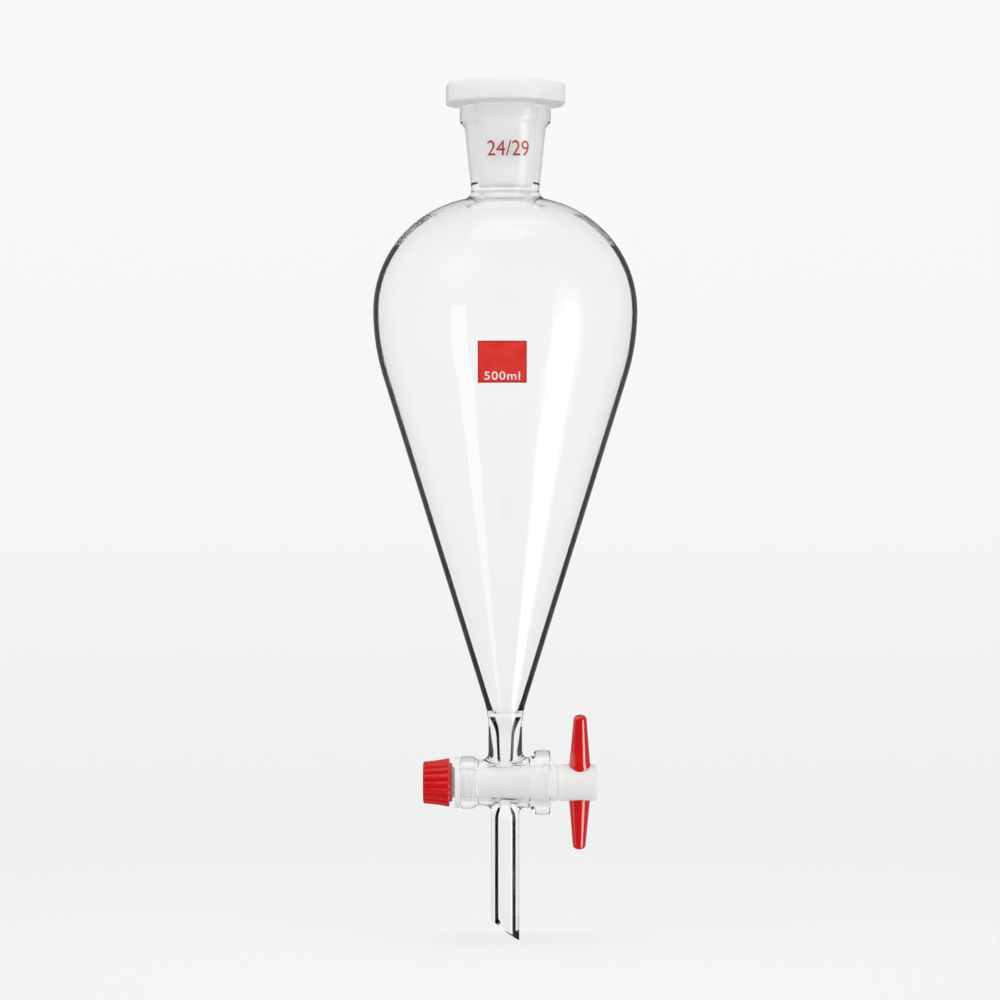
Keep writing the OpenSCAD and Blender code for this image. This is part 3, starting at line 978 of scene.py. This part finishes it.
def flatWords(name, words, height, width, centre, weight, spacing=1.0):
    curve = bpy.data.curves.new(name, "FONT")
    curve.body = words
    curve.size = 1
    curve.offset = weight
    curve.space_character = spacing
    curve.resolution_u = 6
    text = bpy.data.objects.new(name, curve)
    bpy.context.scene.collection.objects.link(text)
    bpy.context.view_layer.update()
    mesh = bpy.data.meshes.new_from_object(text.evaluated_get(bpy.context.evaluated_depsgraph_get()))
    bpy.data.objects.remove(text)
    bm = bmesh.new()
    bm.from_mesh(mesh)
    bmesh.ops.remove_doubles(bm, verts=bm.verts, dist=1e-5)
    bmesh.ops.triangulate(bm, faces=bm.faces)
    xs = [v.co.x for v in bm.verts]
    ys = [v.co.y for v in bm.verts]
    midX, midY = (min(xs) + max(xs)) / 2, (min(ys) + max(ys)) / 2
    sx, sy = width / (max(xs) - min(xs)), height / (max(ys) - min(ys))
    for v in bm.verts:
        v.co = Vector(((v.co.x - midX) * sx + centre[0], (v.co.y - midY) * sy + centre[1], 0))
    bmesh.ops.subdivide_edges(bm, edges=[e for e in bm.edges if e.calc_length() > 0.8 * mm], cuts=2)
    bmesh.ops.triangulate(bm, faces=bm.faces)
    whole = bmesh.ops.extrude_face_region(bm, geom=bm.faces[:])
    for v in whole["geom"]:
        if isinstance(v, bmesh.types.BMVert):
            v.co.z += printForm["thick"]
    bm.to_mesh(mesh)
    bm.free()
    piece = bpy.data.objects.new(name, mesh)
    bpy.context.scene.collection.objects.link(piece)
    return piece


def flatField(name, width, height, centre):
    bm = bmesh.new()
    across, up = 24, 18
    rows = []
    for j in range(up + 1):
        rows.append([])
        for i in range(across + 1):
            x, y = width * (i / across - 0.5), height * (j / up - 0.5)
            rows[-1].append(bm.verts.new((x + centre[0], y + centre[1], 0)))
    for j in range(up):
        for i in range(across):
            bm.faces.new((rows[j][i], rows[j][i + 1], rows[j + 1][i + 1], rows[j + 1][i]))
    whole = bmesh.ops.extrude_face_region(bm, geom=bm.faces[:])
    for v in whole["geom"]:
        if isinstance(v, bmesh.types.BMVert):
            v.co.z += printForm["thick"]
    mesh = bpy.data.meshes.new(name)
    bm.to_mesh(mesh)
    bm.free()
    piece = bpy.data.objects.new(name, mesh)
    bpy.context.scene.collection.objects.link(piece)
    return piece


def socketRadius(z):
    topR, topZ = socketForm["boreR"] + socketForm["topWall"], rimZ - socketForm["beadHeight"] - 1.5 * mm
    return neckR + (topR - neckR) * (z - neckZ) / (topZ - neckZ)


def makePrints():
    form = printForm
    red = enamel("redEnamel", (0.74, 0.022, 0.016), (0.8, 0.03, 0.022), border=(0.5, 0.014, 0.01))
    deepRed = enamel("sizeEnamel", (0.38, 0.03, 0.025), (0.46, 0.04, 0.03))
    white = enamel("whiteEnamel", (0.86, 0.82, 0.8), (0.9, 0.87, 0.85))
    x, z = form["fieldCentre"]
    field = wrapped(flatField("volumeField", form["fieldWidth"], form["fieldHeight"], (x, z)),
                    bulbRadius, form["gap"])
    field.data.materials.append(red)
    volume = wrapped(flatWords("volumeFigures", "500ml", form["volumeHeight"], form["volumeWidth"],
                               (x, z - form["volumeDrop"]), 0.008, 1.12),
                     bulbRadius, form["gap"] + form["thick"] + 0.01 * mm)
    volume.data.materials.append(white)
    sx, sz = form["sizeCentre"]
    size = wrapped(flatWords("jointFigures", "24/29", form["sizeHeight"], form["sizeWidth"],
                             (sx, rimZ + sz), 0.0), socketRadius, form["gap"])
    size.data.materials.append(deepRed)
    for piece, slot in ((field, "red_enamel"), (volume, "white_enamel"), (size, "red_enamel")):
        finishMesh(piece, 30)
        place(piece, "glass", slot)


makePrints()
print("prints made")

# ---- stage

stageLook = {
    "floorDrop": 1.0 * mm,
    "floorR": 1.6,
    "floorTone": (0.86, 0.86, 0.855),
    "floorGlow": 0.1,
    "low": 0.875,  # background below, level and above, where 1 is white
    "level": 0.925,
    "high": 0.945,
    "fill": 0.84,  # even light from all round
    "roomFront": 0.06,  # what gloss shows of the room, before and behind the funnel
    "roomBack": 0.22,
}


def makeStage():
    look = stageLook
    floorZ = tipZ - look["floorDrop"]
    bm = bmesh.new()
    bmesh.ops.create_circle(bm, cap_ends=True, segments=96, radius=look["floorR"])
    mesh = bpy.data.meshes.new("floor")
    bm.to_mesh(mesh)
    bm.free()
    floor = bpy.data.objects.new("floor", mesh)
    floor.location.z = floorZ
    bpy.context.scene.collection.objects.link(floor)
    material, tree, shader = newMaterial("floor")
    shader.inputs["Base Color"].default_value = (*look["floorTone"], 1)
    shader.inputs["Roughness"].default_value = 0.6
    shader.inputs["Specular IOR Level"].default_value = 0.1
    path = node(tree, "ShaderNodeLightPath")
    seen = node(tree, "ShaderNodeMath", operation="MAXIMUM")
    tree.links.new(path.outputs["Is Camera Ray"], seen.inputs[0])
    tree.links.new(path.outputs["Is Transmission Ray"], seen.inputs[1])
    strength = node(tree, "ShaderNodeMath", operation="MULTIPLY")
    strength.inputs[1].default_value = look["floorGlow"]
    tree.links.new(seen.outputs[0], strength.inputs[0])
    shader.inputs["Emission Color"].default_value = (1, 1, 1, 1)
    tree.links.new(strength.outputs[0], shader.inputs["Emission Strength"])
    coords = node(tree, "ShaderNodeTexCoord")
    reach = node(tree, "ShaderNodeVectorMath", operation="LENGTH")
    tree.links.new(coords.outputs["Object"], reach.inputs[0])
    fade = ranged(tree, reach.outputs["Value"], 0.0, 1.0, 0.08, 0.5)  # clears away from the funnel
    clear = node(tree, "ShaderNodeBsdfTransparent")
    mix = node(tree, "ShaderNodeMixShader")
    without = node(tree, "ShaderNodeMath", operation="MAXIMUM")  # gloss shows the room below instead
    tree.links.new(fade, without.inputs[0])
    tree.links.new(path.outputs["Is Glossy Ray"], without.inputs[1])
    tree.links.new(without.outputs[0], mix.inputs[0])
    tree.links.new(shader.outputs["BSDF"], mix.inputs[1])
    tree.links.new(clear.outputs["BSDF"], mix.inputs[2])
    tree.links.new(mix.outputs["Shader"], tree.nodes["Material Output"].inputs["Surface"])
    floor.data.materials.append(material)


boxLook = (  # soft boxes that only gloss shows: direction, half width and half height in degrees, strength
    {"towards": (0.76, -0.5, -0.42), "across": 20, "up": 60, "strength": 8},
    {"towards": (-0.66, -0.6, 0.72), "across": 32, "up": 32, "strength": 1.6},
    {"towards": (0.1, 0.15, 1.0), "across": 30, "up": 30, "strength": 1.2},
)


def softBox(tree, coords, look):  # a soft rectangle of light on the world's sphere
    forward = Vector(look["towards"]).normalized()
    side = forward.cross(Vector((0, 0, 1))).normalized()
    top = side.cross(forward)
    ahead = node(tree, "ShaderNodeVectorMath", operation="DOT_PRODUCT")
    ahead.inputs[1].default_value = forward
    tree.links.new(coords.outputs["Generated"], ahead.inputs[0])
    glow = ranged(tree, ahead.outputs["Value"], 0, look["strength"], 0, 0.3)
    for axis, half in ((side, look["across"]), (top, look["up"])):
        along = node(tree, "ShaderNodeVectorMath", operation="DOT_PRODUCT")
        along.inputs[1].default_value = axis
        tree.links.new(coords.outputs["Generated"], along.inputs[0])
        size = node(tree, "ShaderNodeMath", operation="ABSOLUTE")
        tree.links.new(along.outputs["Value"], size.inputs[0])
        edge = math.sin(math.radians(half))
        window = ranged(tree, size.outputs[0], 1, 0, 0, edge)
        window.node.interpolation_type = "SMOOTHSTEP"
        both = node(tree, "ShaderNodeMath", operation="MULTIPLY")
        tree.links.new(glow, both.inputs[0])
        tree.links.new(window, both.inputs[1])
        glow = both.outputs[0]
    return glow


def makeWorld():
    look = stageLook
    world = bpy.data.worlds.new("studio")
    bpy.context.scene.world = world
    world.use_nodes = True
    world.cycles.sampling_method = "NONE"  # gloss then shows its own room, and even light needs no sampling
    tree = world.node_tree
    tree.nodes.clear()
    out = node(tree, "ShaderNodeOutputWorld")
    coords = node(tree, "ShaderNodeTexCoord")
    axes = node(tree, "ShaderNodeSeparateXYZ")
    tree.links.new(coords.outputs["Generated"], axes.inputs["Vector"])
    ramp = node(tree, "ShaderNodeValToRGB")
    stops = ramp.color_ramp.elements
    stops[0].position, stops[0].color = 0.0, (0.62, 0.62, 0.62, 1)
    stops[1].position, stops[1].color = 1.0, (0.84, 0.84, 0.845, 1)
    for where, tone in ((0.3, 0.8), (0.46, look["low"]), (0.5, look["level"]), (0.57, look["high"]), (0.72, 0.92)):
        stop = stops.new(where)
        stop.color = (tone, tone, tone, 1)
    tree.links.new(ranged(tree, axes.outputs["Z"], 0.0, 1.0, -1.0, 1.0), ramp.inputs["Fac"])
    fill, seen, gloss = (node(tree, "ShaderNodeBackground") for _ in range(3))
    fill.inputs["Color"].default_value = (1, 1, 1, 1)
    fill.inputs["Strength"].default_value = look["fill"]
    tree.links.new(ramp.outputs["Color"], seen.inputs["Color"])
    room = ranged(tree, axes.outputs["Y"], look["roomFront"], look["roomBack"], -0.35, 0.35)
    for box in boxLook:
        total = node(tree, "ShaderNodeMath", operation="ADD")
        tree.links.new(room, total.inputs[0])
        tree.links.new(softBox(tree, coords, box), total.inputs[1])
        room = total.outputs[0]
    tree.links.new(room, gloss.inputs["Strength"])
    path = node(tree, "ShaderNodeLightPath")
    clear = node(tree, "ShaderNodeMath", operation="MAXIMUM")
    tree.links.new(path.outputs["Is Camera Ray"], clear.inputs[0])
    tree.links.new(path.outputs["Is Transmission Ray"], clear.inputs[1])
    first, second = node(tree, "ShaderNodeMixShader"), node(tree, "ShaderNodeMixShader")
    tree.links.new(path.outputs["Is Glossy Ray"], first.inputs[0])
    tree.links.new(fill.outputs["Background"], first.inputs[1])
    tree.links.new(gloss.outputs["Background"], first.inputs[2])
    tree.links.new(clear.outputs[0], second.inputs[0])
    tree.links.new(first.outputs["Shader"], second.inputs[1])
    tree.links.new(seen.outputs["Background"], second.inputs[2])
    tree.links.new(second.outputs["Shader"], out.inputs["Surface"])


lampLook = {
    "right": {"at": (0.75, -0.75, 0.3), "size": (0.3, 0.9), "power": 1.7},
    "left": {"at": (-0.8, -0.6, 0.35), "size": (0.3, 0.6), "power": 0.8},
    "above": {"at": (-0.1, -0.2, 1.0), "size": (0.6, 0.6), "power": 1.8},
}


def makeLamps():
    for name, look in lampLook.items():
        light = bpy.data.lights.new(name, "AREA")
        light.shape = "RECTANGLE"
        light.size, light.size_y = look["size"]
        light.energy = look["power"]
        lamp = bpy.data.objects.new(name, light)
        lamp.location = look["at"]
        lamp.visible_glossy = False  # the world holds the soft boxes that gloss shows
        aim = Vector((0, 0, -0.02)) - Vector(look["at"])
        lamp.rotation_euler = aim.to_track_quat("-Z", "Y").to_euler()
        bpy.context.scene.collection.objects.link(lamp)


cameraLook = {"at": (-2.0 * mm, -1218 * mm, -26.7 * mm), "lens": 115.7}


def makeCamera():
    camera = bpy.data.cameras.new("camera")
    camera.lens = cameraLook["lens"]
    camera.sensor_width = 36
    camera.clip_end = 20
    holder = bpy.data.objects.new("camera", camera)
    holder.location = cameraLook["at"]
    holder.rotation_euler = (math.pi / 2, 0, 0)
    bpy.context.scene.collection.objects.link(holder)
    bpy.context.scene.camera = holder


makeStage()
makeWorld()
makeLamps()
makeCamera()
bpy.context.scene.view_settings.view_transform = "Standard"
print("stage, lamps and camera ready")

bpy.context.view_layer.update()
